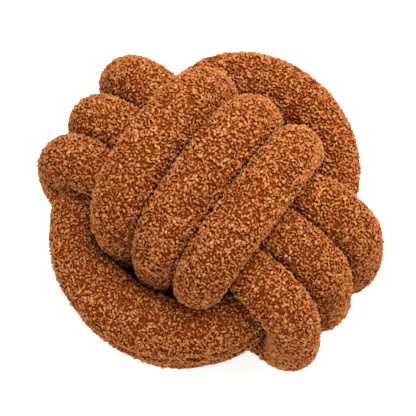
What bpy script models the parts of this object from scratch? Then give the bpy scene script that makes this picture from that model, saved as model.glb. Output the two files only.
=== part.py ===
"""Knot cushion: one long stuffed tube of boucle cloth, tied into a ball of three crossed bands.

Each band is three turns of the tube lying side by side. Band "face" runs over and under the ball,
band "cross" runs round it from side to side beneath the face band, and band "girdle" runs round its
waist beneath the cross band and over the face band. Every turn is a rounded loop with one long half
axis, where it lies on the outside, and one short half axis, where the next band covers it.

The tube is closed: it steps sideways from turn to turn, and dives through the ball's core from band
to band, only where another band hides it. Its section is round where it is free, thicker where it
packs the core, and gives way to a narrow slit between it and any stretch that presses on
it, and to the floor.

Units are metres, +Z is up, and the origin is on the floor under the middle of the cushion.
"""

import math
from dataclasses import dataclass

import bmesh
import bpy
import numpy as np
from mathutils import Euler

# The stuffed tube
SLIT_BESIDE = 0.0020  # left between two stretches that lie side by side
SLIT_ACROSS = 0.0040  # and between two that cross
PRESS_SHARPNESS = 14.0  # how abruptly a round side turns into a pressed one
BEND_LIMIT = 0.8  # share of a bend's own radius that the section may fill on its inner side
FLOOR_DROP = 0.1476  # from the middle of the knot down to the floor that it is pressed on
CORE_SWELL = 0.0270  # how much wider the tube grows where it fills the knot's core
CORE_NEAR = 0.0400  # distance from the middle up to which it does so fully
CORE_FAR = 0.0760  # and from which it doesn't

# The turns
TURNS = 3  # turns of tube in each band
STEP_ARC = math.radians(83.0)  # arc in which a turn steps over to the next lane
LEAVE_ARC = math.radians(34.0)  # distance of a band's first and last points from its step
SINK_ARC = math.radians(62.0)  # arc over which a band's two ends turn inwards
SINK = 0.29  # share of the loop's size by which they do
JOIN_HANDLE = 0.0535  # reach of the smooth curve that joins two bands through the core
CORE_AXIS = np.array((1.0, -1.0, 1.0)) / math.sqrt(3.0)  # the joins pass each other along this line

# The mesh
PATH_STEPS = 240  # points on each turn of the path before it is spaced evenly
JOIN_STEPS = 48
RINGS = 426
SIDES = 14
EASE_PASSES = 10  # rounds of averaging that take the kinks out of the path
OWN_STRETCH = 0.092  # length of tube to each side that a ring counts as its own

CLOTH_COLOR = (0.36, 0.115, 0.032, 1.0)
CLOTH_ROUGHNESS = 0.95


@dataclass(frozen=True)
class Band:
    """Three turns of tube side by side."""

    radius: float  # of the tube in the middle turn, where nothing presses on it
    taper: float  # how much thicker the first turn is, and thinner the last
    over: float  # long half axis, to the tube's middle, where the band lies outside
    under: float  # short half axis, where the next band covers it
    square: float  # 2 is an ellipse, more is squarer
    pitch_over: float  # spacing of the turns on the outside
    pitch_under: float  # and under the next band
    round_over: float  # how much less the outer two turns reach than the middle one, on the outside
    tuck_under: float  # and where they are covered
    shift: tuple  # of the band's middle, from the knot's
    tilt: tuple  # of the band as tied, in degrees about X, Y and Z
    over_axis: tuple
    under_axis: tuple  # points to the covered side where the turns step over
    lane_axis: tuple  # from the last turn to the first
    join_level: float  # where the join to the next band crosses the core


FACE = Band(
    radius=0.0230,
    taper=0.0001,
    over=0.1313,
    under=0.0708,
    square=4.4,
    pitch_over=0.0488,
    pitch_under=0.0336,
    round_over=0.0013,
    tuck_under=0.0009,
    shift=(0.0011, 0.0040, -0.0006),
    tilt=(2.7, 1.4, 1.8),
    over_axis=(0, 0, 1),
    under_axis=(0, 1, 0),
    lane_axis=(1, 0, 0),
    join_level=-0.0095,
)
CROSS = Band(
    radius=0.0244,
    taper=-0.0009,
    over=0.1220,
    under=0.0840,
    square=5.5,
    pitch_over=0.0473,
    pitch_under=0.0320,
    round_over=-0.0003,
    tuck_under=0.0038,
    shift=(-0.0003, 0.0016, -0.0014),
    tilt=(-0.3, -1.7, 1.8),
    over_axis=(1, 0, 0),
    under_axis=(0, 0, -1),
    lane_axis=(0, -1, 0),
    join_level=0.0298,
)
GIRDLE = Band(
    radius=0.0235,
    taper=0.0041,
    over=0.1220,
    under=0.0918,
    square=2.2,
    pitch_over=0.0454,
    pitch_under=0.0383,
    round_over=0.0026,
    tuck_under=0.0006,
    shift=(-0.0013, 0.0021, -0.0044),
    tilt=(3.0, 0.8, -5.0),
    over_axis=(0, -1, 0),
    under_axis=(-1, 0, 0),
    lane_axis=(0, 0, 1),
    join_level=0.0690,
)
BANDS = (FACE, CROSS, GIRDLE)


def ramp(x: np.ndarray) -> np.ndarray:
    """Rise smoothly from 0 at x = 0 to 1 at x = 1, and stay there."""
    x = np.clip(x, 0.0, 1.0)
    return x**3 * (x * (6.0 * x - 15.0) + 10.0)


def band_path(band: Band) -> np.ndarray:
    """Return points along a band's turns, from where the tube comes out of the core to where it dives back.

    The fourth column is the tube's radius.
    """
    step_at = math.pi / 2
    first = step_at
    last = step_at + 2 * math.pi * TURNS
    angle = np.linspace(first + LEAVE_ARC, last - LEAVE_ARC, TURNS * PATH_STEPS)
    lane = np.ones_like(angle)
    for turn in range(1, TURNS):
        lane -= ramp((angle - step_at - 2 * math.pi * turn) / STEP_ARC + 0.5)
    along = np.cos(angle)
    across = np.sin(angle)
    over = band.over - band.round_over * lane**2
    under = band.under - band.tuck_under * lane**2
    reach = (np.abs(along / over) ** band.square + np.abs(across / under) ** band.square) ** (-1 / band.square)
    from_end = np.minimum(angle - first, last - angle)
    reach *= 1 - SINK * (1 - ramp(from_end / SINK_ARC))
    offset = lane * (band.pitch_over * along**2 + band.pitch_under * across**2)
    level = (
        np.outer(reach * along, band.over_axis)
        + np.outer(reach * across, band.under_axis)
        + np.outer(offset, band.lane_axis)
    )
    tilt = Euler([math.radians(degrees) for degrees in band.tilt]).to_matrix()
    return np.column_stack((level @ np.array(tilt).T + np.array(band.shift), band.radius + band.taper * lane))


def unit(v: np.ndarray) -> np.ndarray:
    """Scale each row of v, or v itself, to length 1."""
    return v / np.linalg.norm(v, axis=-1, keepdims=True)


def join_path(before: np.ndarray, after: np.ndarray, level: float) -> np.ndarray:
    """Return a smooth curve through the core, from the end of one band to the start of the next, as band_path does."""
    leave = before[-1] + JOIN_HANDLE * unit(before[-1] - before[-2])
    arrive = after[0] - JOIN_HANDLE * unit(after[1] - after[0])
    u = np.linspace(0, 1, JOIN_STEPS, endpoint=False)[1:, None]
    curve = (
        (1 - u) ** 3 * before[-1] + 3 * u * (1 - u) ** 2 * leave + 3 * u**2 * (1 - u) * arrive + u**3 * after[0]
    )
    curve[:, :3] += 16 * (u * (1 - u)) ** 2 * level * CORE_AXIS
    return curve


def space_evenly(points: np.ndarray, count: int) -> np.ndarray:
    """Return count points at equal distances along the closed line through points, which have a radius as well."""
    closed = np.vstack((points, points[:1]))
    run = np.concatenate(([0.0], np.cumsum(np.linalg.norm(np.diff(closed[:, :3], axis=0), axis=1))))
    at = np.linspace(0.0, run[-1], count, endpoint=False)
    return np.stack([np.interp(at, run, column) for column in closed.T], axis=1)


def tube_path(count: int) -> tuple:
    """Return the tube's whole middle line as count evenly spaced points of a closed curve, and its radius at each."""
    turns = [band_path(band) for band in BANDS]
    pieces = []
    for index, band in enumerate(BANDS):
        pieces.append(turns[index])
        pieces.append(join_path(turns[index], turns[(index + 1) % len(BANDS)], band.join_level))
    points = space_evenly(np.concatenate(pieces), 2 * RINGS)
    for _ in range(EASE_PASSES):
        points = (np.roll(points, 1, axis=0) + 2 * points + np.roll(points, -1, axis=0)) / 4
    points = space_evenly(points, count)
    return points[:, :3], points[:, 3]


def ring_frames(line: np.ndarray) -> tuple:
    """Return each point's tangent, bend (towards its centre) and two section axes, which don't twist along the tube."""
    step = np.linalg.norm(line[1] - line[0])
    tangent = unit(np.roll(line, -1, axis=0) - np.roll(line, 1, axis=0))
    bend = (np.roll(tangent, -1, axis=0) - np.roll(tangent, 1, axis=0)) / (2 * step)
    side = np.empty_like(line)
    carried = np.cross(tangent[0], (0.0, 0.0, 1.0))
    for k, t in enumerate(tangent):
        carried = unit(carried - t * np.dot(carried, t))
        side[k] = carried
    rise = np.cross(tangent, side)
    back_home = unit(side[-1] - tangent[0] * np.dot(side[-1], tangent[0]))
    twist = math.atan2(np.dot(back_home, rise[0]), np.dot(back_home, side[0]))
    untwist = -twist * np.arange(len(line))[:, None] / len(line)
    turned = np.cos(untwist) * side + np.sin(untwist) * rise
    return tangent, bend, turned, np.cross(tangent, turned)


def section_reach(
    centre: np.ndarray,
    radius: float,
    ways: np.ndarray,
    bend: np.ndarray,
    others: np.ndarray,
    other_radii: np.ndarray,
    alike: np.ndarray,
) -> np.ndarray:
    """Return how far the tube's skin lies from one point of its middle line, along each of the given ways.

    others are the middle line's points elsewhere, and alike is 1 where the tube there runs the same way.
    """
    to_other = others - centre
    distance = np.linalg.norm(to_other, axis=1)
    slit = SLIT_ACROSS + (SLIT_BESIDE - SLIT_ACROSS) * alike
    facing = np.maximum(ways @ to_other.T, 1e-9)
    share = radius / (radius + other_radii)
    slit_at = (distance * (distance - slit) * share / facing).min(axis=1)
    bend_at = BEND_LIMIT / np.maximum(ways @ bend, 1e-9)
    outwards = (np.linalg.norm(centre) - CORE_NEAR) / (CORE_FAR - CORE_NEAR)
    free = radius + CORE_SWELL * (1 - ramp(outwards))
    limits = np.stack((np.full(len(ways), free), slit_at, bend_at))
    reach = (limits**-PRESS_SHARPNESS).sum(axis=0) ** (-1 / PRESS_SHARPNESS)
    floor_at = np.where(ways[:, 2] < 0, -(centre[2] + FLOOR_DROP) / np.minimum(ways[:, 2], -1e-9), np.inf)
    return np.minimum(reach, floor_at)


def tube_skin() -> np.ndarray:
    """Return the skin's points as an array of rings, sides and coordinates, standing on the floor at the origin."""
    line, radius = tube_path(RINGS)
    spacing = np.linalg.norm(line[1] - line[0])
    tangent, bend, side, rise = ring_frames(line)
    turn = 2 * math.pi * np.arange(SIDES)[:, None] / SIDES
    number = np.arange(RINGS)
    skin = np.empty((RINGS, SIDES, 3))
    for k in range(RINGS):
        apart = np.abs(number - k)
        apart = np.minimum(apart, RINGS - apart) * spacing
        ways = np.cos(turn) * side[k] + np.sin(turn) * rise[k]
        foreign = apart > OWN_STRETCH
        alike = np.abs(tangent[foreign] @ tangent[k])
        reach = section_reach(line[k], radius[k], ways, bend[k], line[foreign], radius[foreign], alike)
        skin[k] = line[k] + ways * reach[:, None]
    low = skin.min(axis=(0, 1))
    high = skin.max(axis=(0, 1))
    foot = np.array(((low[0] + high[0]) / 2, (low[1] + high[1]) / 2, low[2]))
    return skin - foot


def build_tube(skin: np.ndarray) -> bpy.types.Mesh:
    """Loft the closed tube from ring to ring and back to the first."""
    bm = bmesh.new()
    rings = [[bm.verts.new(point) for point in ring] for ring in skin]
    for ring, following in zip(rings, rings[1:] + rings[:1]):
        for k in range(SIDES):
            after = (k + 1) % SIDES
            bm.faces.new((ring[k], ring[after], following[after], following[k]))
    bmesh.ops.triangulate(bm, faces=bm.faces[:])
    bmesh.ops.recalc_face_normals(bm, faces=bm.faces[:])
    if bm.calc_volume(signed=True) < 0:
        bmesh.ops.reverse_faces(bm, faces=bm.faces[:])
    mesh = bpy.data.meshes.new("knot_tube")
    bm.to_mesh(mesh)
    bm.free()
    mesh.shade_smooth()
    return mesh


def cloth_material() -> bpy.types.Material:
    """Return the rust-coloured boucle."""
    material = bpy.data.materials.new("rust_boucle")
    material.use_nodes = True
    shader = material.node_tree.nodes["Principled BSDF"]
    shader.inputs["Base Color"].default_value = CLOTH_COLOR
    shader.inputs["Roughness"].default_value = CLOTH_ROUGHNESS
    shader.inputs["Metallic"].default_value = 0.0
    return material


def main() -> None:
    """Empty the scene and build the cushion in its own collection."""
    for thing in list(bpy.data.objects):
        bpy.data.objects.remove(thing)
    collection = bpy.data.collections.new("knot_cushion")
    bpy.context.scene.collection.children.link(collection)
    mesh = build_tube(tube_skin())
    mesh.materials.append(cloth_material())
    collection.objects.link(bpy.data.objects.new("knot_tube", mesh))


if __name__ == "__main__":
    main()
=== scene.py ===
"""Dress the knot cushion: a stuffed tube of boucle tied as a ball, its pile of yarn loops, and a studio.

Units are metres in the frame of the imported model, +Z is up, and the floor is at Z = 0.
"""

import logging
import math
from dataclasses import dataclass, field
from enum import Enum

import bpy
import numpy as np
from mathutils import Matrix, Vector, noise
from mathutils.bvhtree import BVHTree


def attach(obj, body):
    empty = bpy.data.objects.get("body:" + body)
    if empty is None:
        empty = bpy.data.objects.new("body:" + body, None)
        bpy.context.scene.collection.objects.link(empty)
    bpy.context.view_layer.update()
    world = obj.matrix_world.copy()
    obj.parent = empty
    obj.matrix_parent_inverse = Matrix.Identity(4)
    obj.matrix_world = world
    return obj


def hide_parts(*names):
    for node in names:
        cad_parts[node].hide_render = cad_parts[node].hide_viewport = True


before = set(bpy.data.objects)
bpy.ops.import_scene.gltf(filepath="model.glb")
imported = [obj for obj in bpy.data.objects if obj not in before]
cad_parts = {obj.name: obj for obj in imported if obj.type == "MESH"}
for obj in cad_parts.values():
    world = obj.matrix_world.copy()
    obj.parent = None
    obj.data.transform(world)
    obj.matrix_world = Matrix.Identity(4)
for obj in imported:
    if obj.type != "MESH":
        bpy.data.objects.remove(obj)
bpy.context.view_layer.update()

LOG = logging.getLogger("knot_cushion")
MM = 0.001
TINY = 1e-12  # a length that keeps a division from failing
NODE = "knot_tube"
BODY = "root"


def deselect_all() -> None:
    """Leave object mode with nothing selected."""
    if bpy.context.mode != "OBJECT":
        bpy.ops.object.mode_set(mode="OBJECT")
    bpy.ops.object.select_all(action="DESELECT")


def pick(thing: bpy.types.Object) -> None:
    """Make one object the selected and active one.

    Args:
        thing: The object to select.
    """
    deselect_all()
    thing.select_set(True)
    bpy.context.view_layer.objects.active = thing


def apply_modifier(thing: bpy.types.Object, kind: str, **settings: object) -> None:
    """Add a modifier to an object, set it and apply it.

    Args:
        thing: The object that takes the modifier.
        kind: The modifier's type.
        settings: The modifier's own properties.
    """
    modifier = thing.modifiers.new(kind.title(), kind)
    for name, value in settings.items():
        setattr(modifier, name, value)
    pick(thing)
    bpy.ops.object.modifier_apply(modifier=modifier.name)


def places_of(mesh: bpy.types.Mesh) -> np.ndarray:
    """Read a mesh's points.

    Args:
        mesh: The mesh to read.

    Returns:
        An array of points and coordinates.
    """
    found = np.empty(len(mesh.vertices) * 3, np.float32)
    mesh.vertices.foreach_get("co", found)
    return found.reshape(-1, 3).astype(float)


def place_points(mesh: bpy.types.Mesh, points: np.ndarray) -> None:
    """Move a mesh's points.

    Args:
        mesh: The mesh to change.
        points: Where each of its points goes.
    """
    mesh.vertices.foreach_set("co", points.astype(np.float32).ravel())
    mesh.update()


def unit(rows: np.ndarray) -> np.ndarray:
    """Scale each row to length 1.

    Args:
        rows: The vectors.

    Returns:
        The same directions, with length 1.
    """
    return rows / np.maximum(np.linalg.norm(rows, axis=-1, keepdims=True), TINY)


class NodeSheet:
    """A material's node tree, with short calls that add and link its nodes."""

    def __init__(self, name: str) -> None:
        """Start an empty material.

        Args:
            name: The material's name.
        """
        self.material = bpy.data.materials.new(name)
        self.material.use_nodes = True
        self.tree = self.material.node_tree
        self.shader = self.tree.nodes["Principled BSDF"]

    def add(self, kind: str, settings: dict | None = None, **inputs: object) -> bpy.types.Node:
        """Add a node.

        Args:
            kind: The node's type.
            settings: The node's own properties.
            inputs: Values or output sockets for its inputs, by name with _ for a space, or _0 for a number.

        Returns:
            The new node.
        """
        node = self.tree.nodes.new(kind)
        for name, value in (settings or {}).items():
            setattr(node, name, value)
        for name, value in inputs.items():
            key = int(name[1:]) if name[1:].isdigit() else name.replace("_", " ")
            self.feed(node.inputs[key], value)
        return node

    def feed(self, socket: bpy.types.NodeSocket, value: object) -> None:
        """Give an input its value, or link an output to it.

        Args:
            socket: The input.
            value: A number, a colour or another node's output.
        """
        if isinstance(value, bpy.types.NodeSocket):
            self.tree.links.new(value, socket)
        else:
            socket.default_value = value

    def dress(self, **inputs: object) -> None:
        """Set the shader's own inputs.

        Args:
            inputs: Values or output sockets, by the input's name with _ for a space.
        """
        for name, value in inputs.items():
            self.feed(self.shader.inputs[name.replace("_", " ")], value)

    def blend(self, share: object, first: object, second: object) -> bpy.types.NodeSocket:
        """Mix two colours.

        Args:
            share: How much of the second colour.
            first: The first colour.
            second: The second colour.

        Returns:
            The mixed colour.
        """
        node = self.add("ShaderNodeMix", {"data_type": "RGBA"})
        self.feed(node.inputs[0], share)
        self.feed(node.inputs[6], first)
        self.feed(node.inputs[7], second)
        return node.outputs[2]

    def work_out(self, operation: str, **terms: object) -> bpy.types.NodeSocket:
        """Do one sum.

        Args:
            operation: The kind of sum.
            terms: Its terms, as for add.

        Returns:
            The result.
        """
        return self.add("ShaderNodeMath", {"operation": operation}, **terms).outputs[0]

    def step(self, value: object, low: float, high: float) -> bpy.types.NodeSocket:
        """Rise smoothly from 0 at a low value to 1 at a high one.

        Args:
            value: The value to read.
            low: Where the rise starts.
            high: Where it ends.

        Returns:
            The step's output.
        """
        smooth = {"interpolation_type": "SMOOTHSTEP"}
        return self.add("ShaderNodeMapRange", smooth, Value=value, From_Min=low, From_Max=high).outputs[0]


@dataclass(frozen=True)
class LoopYarn:
    """The pile's rust-brown wool, of randomly varying tone, with painted shade low on each loop and a painted
    highlight at its top.
    """

    # painted shade: the colour of a loop's lower part, darkened for the shade among its neighbours
    root: tuple = (0.120, 0.013, 0.001, 1.0)
    deep: tuple = (0.275, 0.059, 0.008, 1.0)
    light: tuple = (0.392, 0.129, 0.028, 1.0)
    # painted highlight: the paler colour of a loop's top, where light would catch it
    tip_highlight: tuple = (0.470, 0.340, 0.165, 1.0)
    root_shade_range: tuple = (0.55, 1.25)  # of the height, over which the root's painted shade gives way to the dyed colours
    highlight_range: tuple = (0.95, 1.75)  # and over which those give way to the painted highlight
    highlight_share: float = 0.37  # of the painted highlight's colour at the very top of a loop
    roughness: float = 0.80
    roughness_spread: float = 0.08  # more or less than that along the crimp
    specular: float = 0.04
    sheen: float = 0.05
    sheen_roughness: float = 0.35
    sheen_tint: tuple = (1.0, 0.60, 0.28, 1.0)
    patch_scale: float = 26.0  # per metre
    patch_spread: float = 0.5  # of the tones, between the darkest patch and the lightest
    kink_scale: float = 480.0  # of the crimp in the yarn, per metre
    kink_roughness: float = 0.65
    kink_height: float = 0.7 * MM
    kink_strength: float = 0.8
    detail: float = 2.0  # of both noises

    def material(self) -> bpy.types.Material:
        """Return the yarn's material."""
        sheet = NodeSheet("loop_yarn")
        place = sheet.add("ShaderNodeTexCoord").outputs["Object"]
        tone = sheet.add("ShaderNodeAttribute", {"attribute_name": "tone"}).outputs["Fac"]
        rise = sheet.add("ShaderNodeAttribute", {"attribute_name": "rise"}).outputs["Fac"]
        patch = self.grain(sheet, place, self.patch_scale)
        kink = self.grain(sheet, place, self.kink_scale, Roughness=self.kink_roughness)
        spread = sheet.work_out("MULTIPLY_ADD", _0=patch, _1=self.patch_spread, _2=-self.patch_spread / 2)
        toned = sheet.add("ShaderNodeMath", {"operation": "ADD", "use_clamp": True}, _0=tone, _1=spread)
        dyed = sheet.blend(toned.outputs[0], self.deep, self.light)
        height = sheet.work_out("ADD", _0=kink, _1=rise)
        # painted shade: low on a loop the colour stays close to the root's darkened one
        up = sheet.step(height, *self.root_shade_range)
        # painted highlight: high on a loop the colour turns towards the paler highlight colour
        painted_highlight = sheet.work_out("MULTIPLY", _0=sheet.step(height, *self.highlight_range), _1=self.highlight_share)
        least, most = self.roughness - self.roughness_spread, self.roughness + self.roughness_spread
        rough = sheet.add("ShaderNodeMapRange", Value=kink, To_Min=least, To_Max=most)
        crimp = {"Strength": self.kink_strength, "Distance": self.kink_height}
        bump = sheet.add("ShaderNodeBump", Height=kink, **crimp)
        # the colour carries painted shade low on each loop, the dyed tones above it, and a painted highlight
        # at the top
        sheet.dress(
            Base_Color=sheet.blend(painted_highlight, sheet.blend(up, self.root, dyed), self.tip_highlight),
            Roughness=rough.outputs[0],
            Normal=bump.outputs[0],
            Sheen_Weight=self.sheen,
            Sheen_Roughness=self.sheen_roughness,
            Sheen_Tint=self.sheen_tint,
            Specular_IOR_Level=self.specular,
        )
        return sheet.material

    def grain(self, sheet: NodeSheet, place: object, scale: float, **inputs: object) -> bpy.types.NodeSocket:
        """Add a noise.

        Args:
            sheet: The material's nodes.
            place: Where it is read.
            scale: How fine it is, per metre.
            inputs: The node's other inputs.

        Returns:
            The noise, from 0 to 1.
        """
        node = sheet.add("ShaderNodeTexNoise", Vector=place, Scale=scale, Detail=self.detail, **inputs)
        return node.outputs["Fac"]


@dataclass(frozen=True)
class BackingCloth:
    """The ground that the loops stand on: short loops deep in the pile, coloured darker than the yarn as
    painted shade under the pile, and darker still between them as painted shade in the pits.
    """

    # painted shade: the colour in the pits between the short loops
    dark: tuple = (0.075, 0.013, 0.002, 1.0)
    # painted shade: darker than the yarn, for the shade under the pile
    brown: tuple = (0.190, 0.034, 0.004, 1.0)
    crown_roughness: float = 0.85  # on top of the short loops
    pit_roughness: float = 0.95  # and between them
    specular: float = 0.05
    stitch_scale: float = 520.0  # per metre
    stitch_height: float = 0.9 * MM

    def material(self) -> bpy.types.Material:
        """Return the ground cloth's material."""
        sheet = NodeSheet("backing_cloth")
        place = sheet.add("ShaderNodeTexCoord").outputs["Object"]
        pit = sheet.add("ShaderNodeTexVoronoi", Vector=place, Scale=self.stitch_scale).outputs["Distance"]
        least, most = self.crown_roughness, self.pit_roughness
        rough = sheet.add("ShaderNodeMapRange", Value=pit, To_Min=least, To_Max=most)
        bump = sheet.add("ShaderNodeBump", {"invert": True}, Height=pit, Distance=self.stitch_height)
        # painted shade: the colour darkens from the short loops' crowns into the pits between them
        sheet.dress(
            Base_Color=sheet.blend(pit, self.brown, self.dark),
            Roughness=rough.outputs[0],
            Normal=bump.outputs[0],
            Specular_IOR_Level=self.specular,
        )
        return sheet.material


@dataclass(frozen=True)
class PaleFloor:
    """The studio's plain pale floor, a light table that shines faintly."""

    color: tuple = (0.95, 0.95, 0.95, 1.0)
    roughness: float = 0.7
    specular: float = 0.2
    shine: float = 0.3  # the strength of its own light

    def material(self) -> bpy.types.Material:
        """Return the floor's material."""
        sheet = NodeSheet("pale_floor")
        sheet.dress(
            Base_Color=self.color,
            Roughness=self.roughness,
            Specular_IOR_Level=self.specular,
            Emission_Color=self.color,
            Emission_Strength=self.shine,
        )
        return sheet.material


@dataclass
class StuffedTube:
    """The cushion's body: the tied tube under its pile, blown up against its own cloth."""

    weld: float = 0.01 * MM  # points closer than this become one
    quad_bend: float = 70.0  # degrees by which two triangles may differ and still make a quad
    quad_skew: float = 80.0  # and by which its corners may be off
    inset: float = 1.5 * MM  # before the cloth is blown up
    lump_height: float = 1.2 * MM  # unevenness of the stuffing
    lump_size: float = 45 * MM
    lump_depth: int = 1  # how much finer unevenness is added to it
    pressure: float = 9.0
    frames: int = 20
    frame_steps: int = 4
    cap: float = 1.5 * MM  # the furthest that a point may swell
    swell: float = 1.1 * MM  # about what the simulation gives
    ray_start: float = 0.1 * MM  # over the cloth
    reach: float = 16.0 * MM  # how wide a crease may be in which strands still bulge towards each other
    parting: float = 2.9 * MM  # left between strands that press on each other
    evening: int = 4  # passes that even out the bulges
    ground: float = 1.0 * MM  # room for the pressed pile under the cushion

    def build(self) -> bpy.types.Object:
        """Make the tube.

        Returns:
            The finished tube, dressed in its ground cloth.
        """
        tube = self.copy_form()
        apply_modifier(tube, "DISPLACE", strength=-self.inset, mid_level=0.0)
        apply_modifier(tube, "SUBSURF", levels=1, render_levels=1)
        self.stuff(tube)
        self.blow_up(tube)
        self.close_creases(tube)
        self.set_down(tube)
        tube.data.shade_smooth()
        tube.data.materials.append(BackingCloth().material())
        return tube

    def copy_form(self) -> bpy.types.Object:
        """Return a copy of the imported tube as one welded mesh, of quads where two triangles pair well."""
        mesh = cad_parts[NODE].data.copy()
        mesh.materials.clear()
        tube = bpy.data.objects.new("stuffed_tube", mesh)
        bpy.context.scene.collection.objects.link(tube)
        pick(tube)
        bpy.ops.object.mode_set(mode="EDIT")
        bpy.ops.mesh.select_all(action="SELECT")
        bpy.ops.mesh.remove_doubles(threshold=self.weld)
        bpy.ops.mesh.tris_convert_to_quads(
            face_threshold=math.radians(self.quad_bend), shape_threshold=math.radians(self.quad_skew)
        )
        bpy.ops.mesh.normals_make_consistent(inside=False)
        bpy.ops.object.mode_set(mode="OBJECT")
        return tube

    def stuff(self, tube: bpy.types.Object) -> None:
        """Make the tube as uneven as its stuffing.

        Args:
            tube: The tube to change.
        """
        lumps = bpy.data.textures.new("stuffing_lumps", "CLOUDS")
        lumps.noise_scale = self.lump_size
        lumps.noise_depth = self.lump_depth
        apply_modifier(
            tube, "DISPLACE", strength=self.lump_height, mid_level=0.5, texture=lumps, texture_coords="LOCAL"
        )
        bpy.data.textures.remove(lumps)

    def blow_up(self, tube: bpy.types.Object) -> None:
        """Swell the cloth with Blender's cloth simulation, and hold back the points that go too far.

        Args:
            tube: The tube to change.
        """
        scene = bpy.context.scene
        start = places_of(tube.data)
        cloth = tube.modifiers.new("Cloth", "CLOTH")
        cloth.settings.use_pressure = True
        cloth.settings.uniform_pressure_force = self.pressure
        cloth.settings.effector_weights.gravity = 0.0
        cloth.settings.quality = self.frame_steps
        cloth.collision_settings.use_collision = False
        cloth.point_cache.frame_start = 1
        cloth.point_cache.frame_end = self.frames
        for number in range(1, self.frames + 1):
            scene.frame_set(number)
        pick(tube)
        bpy.ops.object.modifier_apply(modifier=cloth.name)
        scene.frame_set(1)
        moved = places_of(tube.data) - start
        length = np.linalg.norm(moved, axis=1, keepdims=True)
        place_points(tube.data, start + moved * np.minimum(1.0, self.cap / np.maximum(length, TINY)))
        LOG.info("the cloth swelled by %.2f mm on average", float(np.minimum(length, self.cap).mean() / MM))

    def close_creases(self, tube: bpy.types.Object) -> None:
        """Bulge the strands towards each other where they face each other across a crease.

        Args:
            tube: The tube to change.
        """
        mesh = tube.data
        tree = BVHTree.FromObject(tube, bpy.context.evaluated_depsgraph_get())
        bulge = np.zeros(len(mesh.vertices))
        for number, vertex in enumerate(mesh.vertices):
            gap = tree.ray_cast(vertex.co + vertex.normal * self.ray_start, vertex.normal, self.reach)[3]
            if gap is not None:
                bulge[number] = max(0.0, gap - self.parting) / 2 * (1 - (gap / self.reach) ** 2)
        ends = np.empty(len(mesh.edges) * 2, np.int32)
        mesh.edges.foreach_get("vertices", ends)
        ends = ends.reshape(-1, 2)
        both = np.concatenate((ends, ends[:, ::-1]))
        many = np.bincount(both[:, 0], minlength=len(bulge))
        for _ in range(self.evening):
            around = np.bincount(both[:, 0], weights=bulge[both[:, 1]], minlength=len(bulge)) / many
            bulge = (np.minimum(bulge, around) + around) / 2
        ways = np.empty(len(bulge) * 3, np.float32)
        mesh.vertex_normals.foreach_get("vector", ways)
        place_points(mesh, places_of(mesh) + bulge[:, None] * ways.reshape(-1, 3))

    def set_down(self, tube: bpy.types.Object) -> None:
        """Press the tube flat a pile's height over the floor.

        Args:
            tube: The tube to change.
        """
        points = places_of(tube.data)
        points[:, 2] = np.maximum(points[:, 2], self.ground)
        place_points(tube.data, points)


class LoopShape(Enum):
    """The two ways in which the pile's yarn lies."""

    CURL = "curl"  # a long loop, bent over
    KNOP = "knop"  # a short round one


class BallSide(Enum):
    """The three bands of the ball, by the axis across which they show."""

    FACE = 2
    CROSS = 0
    GIRDLE = 1


@dataclass
class LoopForm:
    """One loop of yarn, modelled once. X runs along it, and +Z away from the cloth."""

    length: float
    width: float
    height: float
    sides: int
    rings: int
    points: np.ndarray = field(init=False)
    corners: np.ndarray = field(init=False)  # the point at each corner of each face
    starts: np.ndarray = field(init=False)  # each face's first corner
    spots: np.ndarray = field(init=False)  # each corner's place on the loop's own map

    def __post_init__(self) -> None:
        """Model the loop and keep its arrays."""
        bpy.ops.mesh.primitive_uv_sphere_add(segments=self.sides, ring_count=self.rings, radius=0.5)
        loop = bpy.context.object
        pick(loop)
        bpy.ops.object.mode_set(mode="EDIT")
        bpy.ops.mesh.select_all(action="SELECT")
        middle = (0.0, 0.0, 0.0)
        bpy.ops.transform.rotate(value=math.pi / 2, orient_axis="Y", center_override=middle)
        bpy.ops.transform.resize(value=(self.length, self.width, self.height), center_override=middle)
        bpy.ops.mesh.normals_make_consistent(inside=False)
        bpy.ops.object.mode_set(mode="OBJECT")
        mesh = loop.data
        self.points = places_of(mesh)
        self.corners = np.empty(len(mesh.loops), np.int32)
        mesh.loops.foreach_get("vertex_index", self.corners)
        self.starts = np.empty(len(mesh.polygons), np.int32)
        mesh.polygons.foreach_get("loop_start", self.starts)
        spots = np.empty(len(mesh.loops) * 2, np.float32)
        mesh.uv_layers[0].uv.foreach_get("vector", spots)
        self.spots = spots.reshape(-1, 2)
        bpy.data.objects.remove(loop)
        bpy.data.meshes.remove(mesh)


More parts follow.
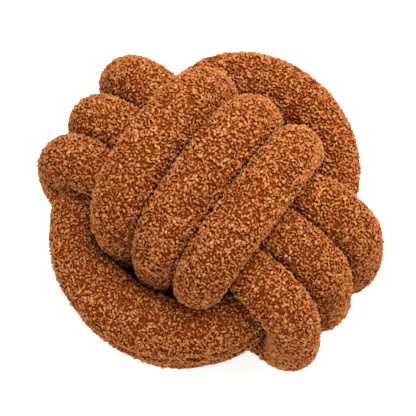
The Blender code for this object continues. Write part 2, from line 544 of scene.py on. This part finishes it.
@dataclass
class Pile:
    """The boucle's pile: loops of yarn set close together all over the cloth that shows."""

    spacing: float = 2.05 * MM
    density: float = 700_000.0  # tries per square metre, enough to fill the cloth at that spacing
    sunk: float = 0.6 * MM
    lift: float = 0.70 * MM  # how far loops stand over or under each other
    curl_share: float = 0.34
    lean: float = 0.175  # how far a loop tips over, as a slope
    bend: float = 190.0  # how sharply a loop bends sideways, per metre
    least_bend: float = 0.4  # the straightest loop's share of that
    droop: float = 95.0  # and how its ends dip
    least_droop: float = 0.3  # the flattest loop's share of that
    size_spread: float = 0.38
    tone_focus: float = 3.0  # how closely the tones keep to the middle one
    clump_size: float = 5.5 * MM  # how far apart the pile bunches up
    clump_lift: float = 0.6 * MM
    clump_tone: float = 0.2
    depth: float = 3.0 * MM  # of the pile, from the cloth to the loops' tops
    rays: int = 48
    ray_start: float = 1.6 * MM
    ray_slope: float = 0.05  # rays that leave the cloth at less than this don't count
    enough: int = 5  # rays that get out where the pile is full
    pressed_from: float = 1.4 * MM  # height under which the floor presses the loops
    floor_gap: float = 0.25 * MM
    tile_rim: float = 0.08  # of a loop's tile on the bake map
    seed: int = 7
    draw: np.random.Generator = field(init=False)  # all the pile's random draws come from it

    def build(self, tube: bpy.types.Object) -> list[bpy.types.Object]:
        """Set the pile on the tube.

        Args:
            tube: The finished tube.

        Returns:
            The pile's pieces, one for each band and loop shape.
        """
        self.draw = np.random.default_rng(self.seed)
        forms = {
            LoopShape.CURL: LoopForm(length=5.0 * MM, width=2.9 * MM, height=3.1 * MM, sides=3, rings=4),
            LoopShape.KNOP: LoopForm(length=3.8 * MM, width=3.5 * MM, height=3.3 * MM, sides=3, rings=3),
        }
        self.mark_shown(tube)
        places, ways = self.scatter(tube)
        middle = (places.min(axis=0) + places.max(axis=0)) / 2
        band = np.argmax(np.abs(places - middle), axis=1)
        curled = self.draw.random(len(places)) < self.curl_share
        yarn = LoopYarn().material()
        pieces = []
        for side in BallSide:
            for shape, form in forms.items():
                here = (band == side.value) & (curled == (shape is LoopShape.CURL))
                name = f"{side.name.lower()}_band_{shape.value}s"
                piece = self.set_loops(name, form, places[here], ways[here])
                piece.data.materials.append(yarn)
                pieces.append(piece)
        return pieces

    def mark_shown(self, tube: bpy.types.Object) -> None:
        """Store on the tube's points how openly they show from outside, from 0 to 1, as the attribute shown.

        Args:
            tube: The tube to mark.
        """
        mesh = tube.data
        tree = BVHTree.FromObject(tube, bpy.context.evaluated_depsgraph_get())
        turn = np.arange(self.rays) * math.pi * (3 - math.sqrt(5))
        level = 1 - (2 * np.arange(self.rays) + 1) / self.rays
        round_it = np.sqrt(1 - level**2)
        ball = np.stack((round_it * np.cos(turn), round_it * np.sin(turn), level), axis=1)
        ways = [Vector(way) for way in ball]
        shown = np.zeros(len(mesh.vertices), np.float32)
        for number, vertex in enumerate(mesh.vertices):
            start = vertex.co + vertex.normal * self.ray_start
            for way in ways:
                if way.dot(vertex.normal) > self.ray_slope and tree.ray_cast(start, way)[0] is None:
                    shown[number] += 1.0 / self.enough
                    if shown[number] >= 1.0:
                        break
        mesh.attributes.new("shown", "FLOAT", "POINT").data.foreach_set("value", shown)

    def scatter(self, tube: bpy.types.Object) -> tuple[np.ndarray, np.ndarray]:
        """Spread points over what shows of the tube, none closer than the loops' spacing.

        Args:
            tube: The marked tube.

        Returns:
            The points, and the way out of the cloth at each.
        """
        group = bpy.data.node_groups.new("loop_places", "GeometryNodeTree")
        group.interface.new_socket("Geometry", in_out="INPUT", socket_type="NodeSocketGeometry")
        group.interface.new_socket("Geometry", in_out="OUTPUT", socket_type="NodeSocketGeometry")
        enter = group.nodes.new("NodeGroupInput")
        leave = group.nodes.new("NodeGroupOutput")
        shown = group.nodes.new("GeometryNodeInputNamedAttribute")
        shown.inputs["Name"].default_value = "shown"
        spread = group.nodes.new("GeometryNodeDistributePointsOnFaces")
        spread.distribute_method = "POISSON"
        spread.inputs["Distance Min"].default_value = self.spacing
        spread.inputs["Density Max"].default_value = self.density
        spread.inputs["Seed"].default_value = self.seed
        normal = group.nodes.new("GeometryNodeInputNormal")
        smooth = group.nodes.new("GeometryNodeStoreNamedAttribute")
        smooth.data_type = "FLOAT_VECTOR"
        smooth.inputs["Name"].default_value = "way"
        dots = group.nodes.new("GeometryNodePointsToVertices")
        links = group.links
        links.new(enter.outputs[0], smooth.inputs["Geometry"])
        links.new(normal.outputs["Normal"], smooth.inputs["Value"])
        links.new(smooth.outputs["Geometry"], spread.inputs["Mesh"])
        links.new(shown.outputs["Attribute"], spread.inputs["Density Factor"])
        links.new(spread.outputs["Points"], dots.inputs["Points"])
        links.new(dots.outputs["Mesh"], leave.inputs[0])
        dotted = bpy.data.objects.new("loop_places", tube.data.copy())
        bpy.context.scene.collection.objects.link(dotted)
        apply_modifier(dotted, "NODES", node_group=group)
        places = places_of(dotted.data)
        ways = np.empty(len(places) * 3, np.float32)
        dotted.data.attributes["way"].data.foreach_get("vector", ways)
        bpy.data.objects.remove(dotted)
        bpy.data.node_groups.remove(group)
        return places, unit(ways.reshape(-1, 3).astype(float))

    def set_loops(self, name: str, form: LoopForm, places: np.ndarray, ways: np.ndarray) -> bpy.types.Object:
        """Copy one loop to many places, each turned, leant, bent and sized its own way, and join the copies.

        Args:
            name: The new piece's name.
            form: The loop to copy.
            places: Where each copy goes.
            ways: The way out of the cloth at each place.

        Returns:
            The joined piece.
        """
        draw = self.draw
        count, many = len(places), len(form.points)
        out = unit(ways + self.lean * draw.normal(0.0, 1.0, (count, 3)))
        along = unit(np.cross(out, draw.normal(0.0, 1.0, (count, 3))))
        across = np.cross(out, along)
        size = 1.0 + self.size_spread * draw.uniform(-1.0, 1.0, (count, 1, 3))
        own = form.points[None] * size
        run = own[:, :, 0] ** 2
        mean_run = form.length**2 / 12  # taken off, so that a bent loop keeps its middle
        side = draw.choice((-1.0, 1.0), (count, 1))
        curl = self.bend * side * draw.uniform(self.least_bend, 1.0, (count, 1))
        own[:, :, 1] += curl * (run - mean_run)
        droop = self.droop * draw.uniform(self.least_droop, 1.0, (count, 1))
        own[:, :, 2] += form.height / 2 - self.sunk - droop * run
        clump = self.clumps(places)[:, None]
        own[:, :, 2] += self.lift * draw.uniform(-1.0, 1.0, (count, 1)) + self.clump_lift * clump
        rise = own[:, :, 2].ravel() / self.depth
        points = (
            places[:, None]
            + own[:, :, :1] * along[:, None]
            + own[:, :, 1:2] * across[:, None]
            + own[:, :, 2:] * out[:, None]
        ).reshape(-1, 3)
        points[:, 2] = self.pressed(points[:, 2])
        mesh = bpy.data.meshes.new(name)
        mesh.vertices.add(count * many)
        mesh.vertices.foreach_set("co", points.astype(np.float32).ravel())
        mesh.loops.add(count * len(form.corners))
        corners = form.corners[None] + many * np.arange(count)[:, None]
        mesh.loops.foreach_set("vertex_index", corners.astype(np.int32).ravel())
        mesh.polygons.add(count * len(form.starts))
        starts = form.starts[None] + len(form.corners) * np.arange(count)[:, None]
        mesh.polygons.foreach_set("loop_start", starts.astype(np.int32).ravel())
        mesh.update(calc_edges=True)
        own_tone = draw.beta(self.tone_focus, self.tone_focus, count)
        tone = np.repeat(own_tone + self.clump_tone * clump[:, 0], many)
        mesh.attributes.new("tone", "FLOAT", "POINT").data.foreach_set("value", tone.astype(np.float32))
        mesh.attributes.new("rise", "FLOAT", "POINT").data.foreach_set("value", rise.astype(np.float32))
        mesh.uv_layers.new(name="OFBake").uv.foreach_set("vector", self.tiles(form, count).ravel())
        mesh.shade_smooth()
        piece = bpy.data.objects.new(name, mesh)
        bpy.context.scene.collection.objects.link(piece)
        return piece

    def clumps(self, places: np.ndarray) -> np.ndarray:
        """Say where the pile bunches up and where it is thin.

        Args:
            places: The loops' places.

        Returns:
            For each place, from about -1 where it is thin to 1 where it bunches up.
        """
        return np.array([noise.noise(Vector(place) / self.clump_size) for place in places])

    def pressed(self, height: np.ndarray) -> np.ndarray:
        """Squeeze what would reach through the floor into the last bit above it.

        Args:
            height: Heights above the floor.

        Returns:
            The squeezed heights.
        """
        room = self.pressed_from - self.floor_gap
        depth = self.pressed_from - np.minimum(height, self.pressed_from)
        return np.where(height < self.pressed_from, self.floor_gap + room * np.exp(-depth / room), height)

    def tiles(self, form: LoopForm, count: int) -> np.ndarray:
        """Give each loop a square tile of its own on the bake map.

        Args:
            form: The loop.
            count: How many copies there are.

        Returns:
            The map places of every corner of every copy.
        """
        across = math.ceil(math.sqrt(count))
        corner = np.stack((np.arange(count) % across, np.arange(count) // across), axis=1)
        inside = self.tile_rim + (1 - 2 * self.tile_rim) * form.spots
        return ((corner[:, None] + inside[None]) / across).astype(np.float32)


@dataclass(frozen=True)
class Softbox:
    """A square area light that faces the cushion."""

    name: str
    way: tuple  # where it hangs, seen from the cushion: right and up in the picture, and towards the camera
    distance: float
    size: float
    power: float  # watts


@dataclass
class Studio:
    """The pale floor, the soft lights and the camera."""

    target: tuple = (0.0014, -0.0002, 0.1476)  # the middle of the knot
    azimuth: float = 43.6
    elevation: float = 70.8
    roll: float = -6.0
    distance: float = 1.352
    frame_width: float = 0.365  # that the camera takes in at the target
    sensor: float = 36.0
    clip: tuple = (0.05, 50.0)
    slide: tuple = (0.0001, 0.0076)  # of the view, right and up
    floor_size: float = 6.0
    overhead_glow: float = 0.90  # of the light from above
    overhead_from: float = 0.7  # the sine of the height at which that begins
    side_glow: float = 2.0  # of the light from the horizon
    key: Softbox = Softbox("key_light", (0.4, 0.65, 1.0), distance=1.6, size=1.1, power=50.0)
    fill: Softbox = Softbox("fill_light", (-0.9, -0.2, 0.9), distance=1.8, size=1.4, power=8.0)

    def build(self) -> None:
        """Set up the floor, the lights and the camera."""
        azimuth, elevation = math.radians(self.azimuth), math.radians(self.elevation)
        level = math.cos(elevation)
        back = Vector((math.sin(azimuth) * level, -math.cos(azimuth) * level, math.sin(elevation)))
        right = Vector((math.cos(azimuth), math.sin(azimuth), 0.0))
        up = back.cross(right)
        self.add_floor()
        self.add_world()
        for softbox in (self.key, self.fill):
            self.add_light(softbox, softbox.way[0] * right + softbox.way[1] * up + softbox.way[2] * back)
        self.add_camera(back, right, up)

    def add_floor(self) -> None:
        """Lay the floor."""
        bpy.ops.mesh.primitive_plane_add(size=self.floor_size)
        floor = bpy.context.object
        floor.name = "floor"
        floor.data.materials.append(PaleFloor().material())

    def add_world(self) -> None:
        """Surround the studio with soft white light, stronger from the sides."""
        world = bpy.data.worlds.new("studio")
        world.use_nodes = True
        nodes, links = world.node_tree.nodes, world.node_tree.links
        way = nodes.new("ShaderNodeTexCoord")
        level = nodes.new("ShaderNodeSeparateXYZ")
        glow = nodes.new("ShaderNodeMapRange")
        glow.interpolation_type = "SMOOTHSTEP"
        glow.inputs["From Max"].default_value = self.overhead_from
        glow.inputs["To Min"].default_value = self.side_glow
        glow.inputs["To Max"].default_value = self.overhead_glow
        links.new(way.outputs["Generated"], level.inputs[0])
        links.new(level.outputs["Z"], glow.inputs["Value"])
        links.new(glow.outputs[0], nodes["Background"].inputs["Strength"])
        nodes["Background"].inputs["Color"].default_value = (1.0, 1.0, 1.0, 1.0)
        bpy.context.scene.world = world

    def add_light(self, softbox: Softbox, way: Vector) -> None:
        """Hang a light.

        Args:
            softbox: The light.
            way: The same way as its own, in the frame's axes.
        """
        lamp = bpy.data.lights.new(softbox.name, "AREA")
        lamp.size = softbox.size
        lamp.energy = softbox.power
        light = bpy.data.objects.new(softbox.name, lamp)
        light.location = Vector(self.target) + way.normalized() * softbox.distance
        light.rotation_euler = way.to_track_quat("Z", "Y").to_euler()
        bpy.context.scene.collection.objects.link(light)

    def add_camera(self, back: Vector, right: Vector, up: Vector) -> None:
        """Set the camera at the photo's angle.

        Args:
            back: From the cushion to the camera.
            right: The picture's right, before it rolls.
            up: The picture's up, before it rolls.
        """
        roll = math.radians(self.roll)
        across = math.cos(roll) * right + math.sin(roll) * up
        upward = back.cross(across)
        lens = bpy.data.cameras.new("camera")
        lens.sensor_width = self.sensor
        lens.lens = self.sensor * self.distance / self.frame_width
        lens.clip_start, lens.clip_end = self.clip
        camera = bpy.data.objects.new("camera", lens)
        camera.matrix_world = Matrix((across, upward, back)).transposed().to_4x4()
        aim = Vector(self.target) + self.slide[0] * across + self.slide[1] * upward
        camera.location = aim + self.distance * back
        bpy.context.scene.collection.objects.link(camera)
        bpy.context.scene.camera = camera


def main() -> None:
    """Build the cushion and its studio."""
    logging.basicConfig(level=logging.INFO, format="%(name)s: %(message)s")
    scene = bpy.context.scene
    scene.view_settings.view_transform = "Standard"
    tube = StuffedTube().build()
    pile = Pile().build(tube)
    for piece in (tube, *pile):
        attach(piece, BODY)
        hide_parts(NODE)
        piece.data.calc_loop_triangles()
        LOG.info("%s: %d triangles", piece.name, len(piece.data.loop_triangles))
    Studio().build()


if __name__ == "__main__":
    main()
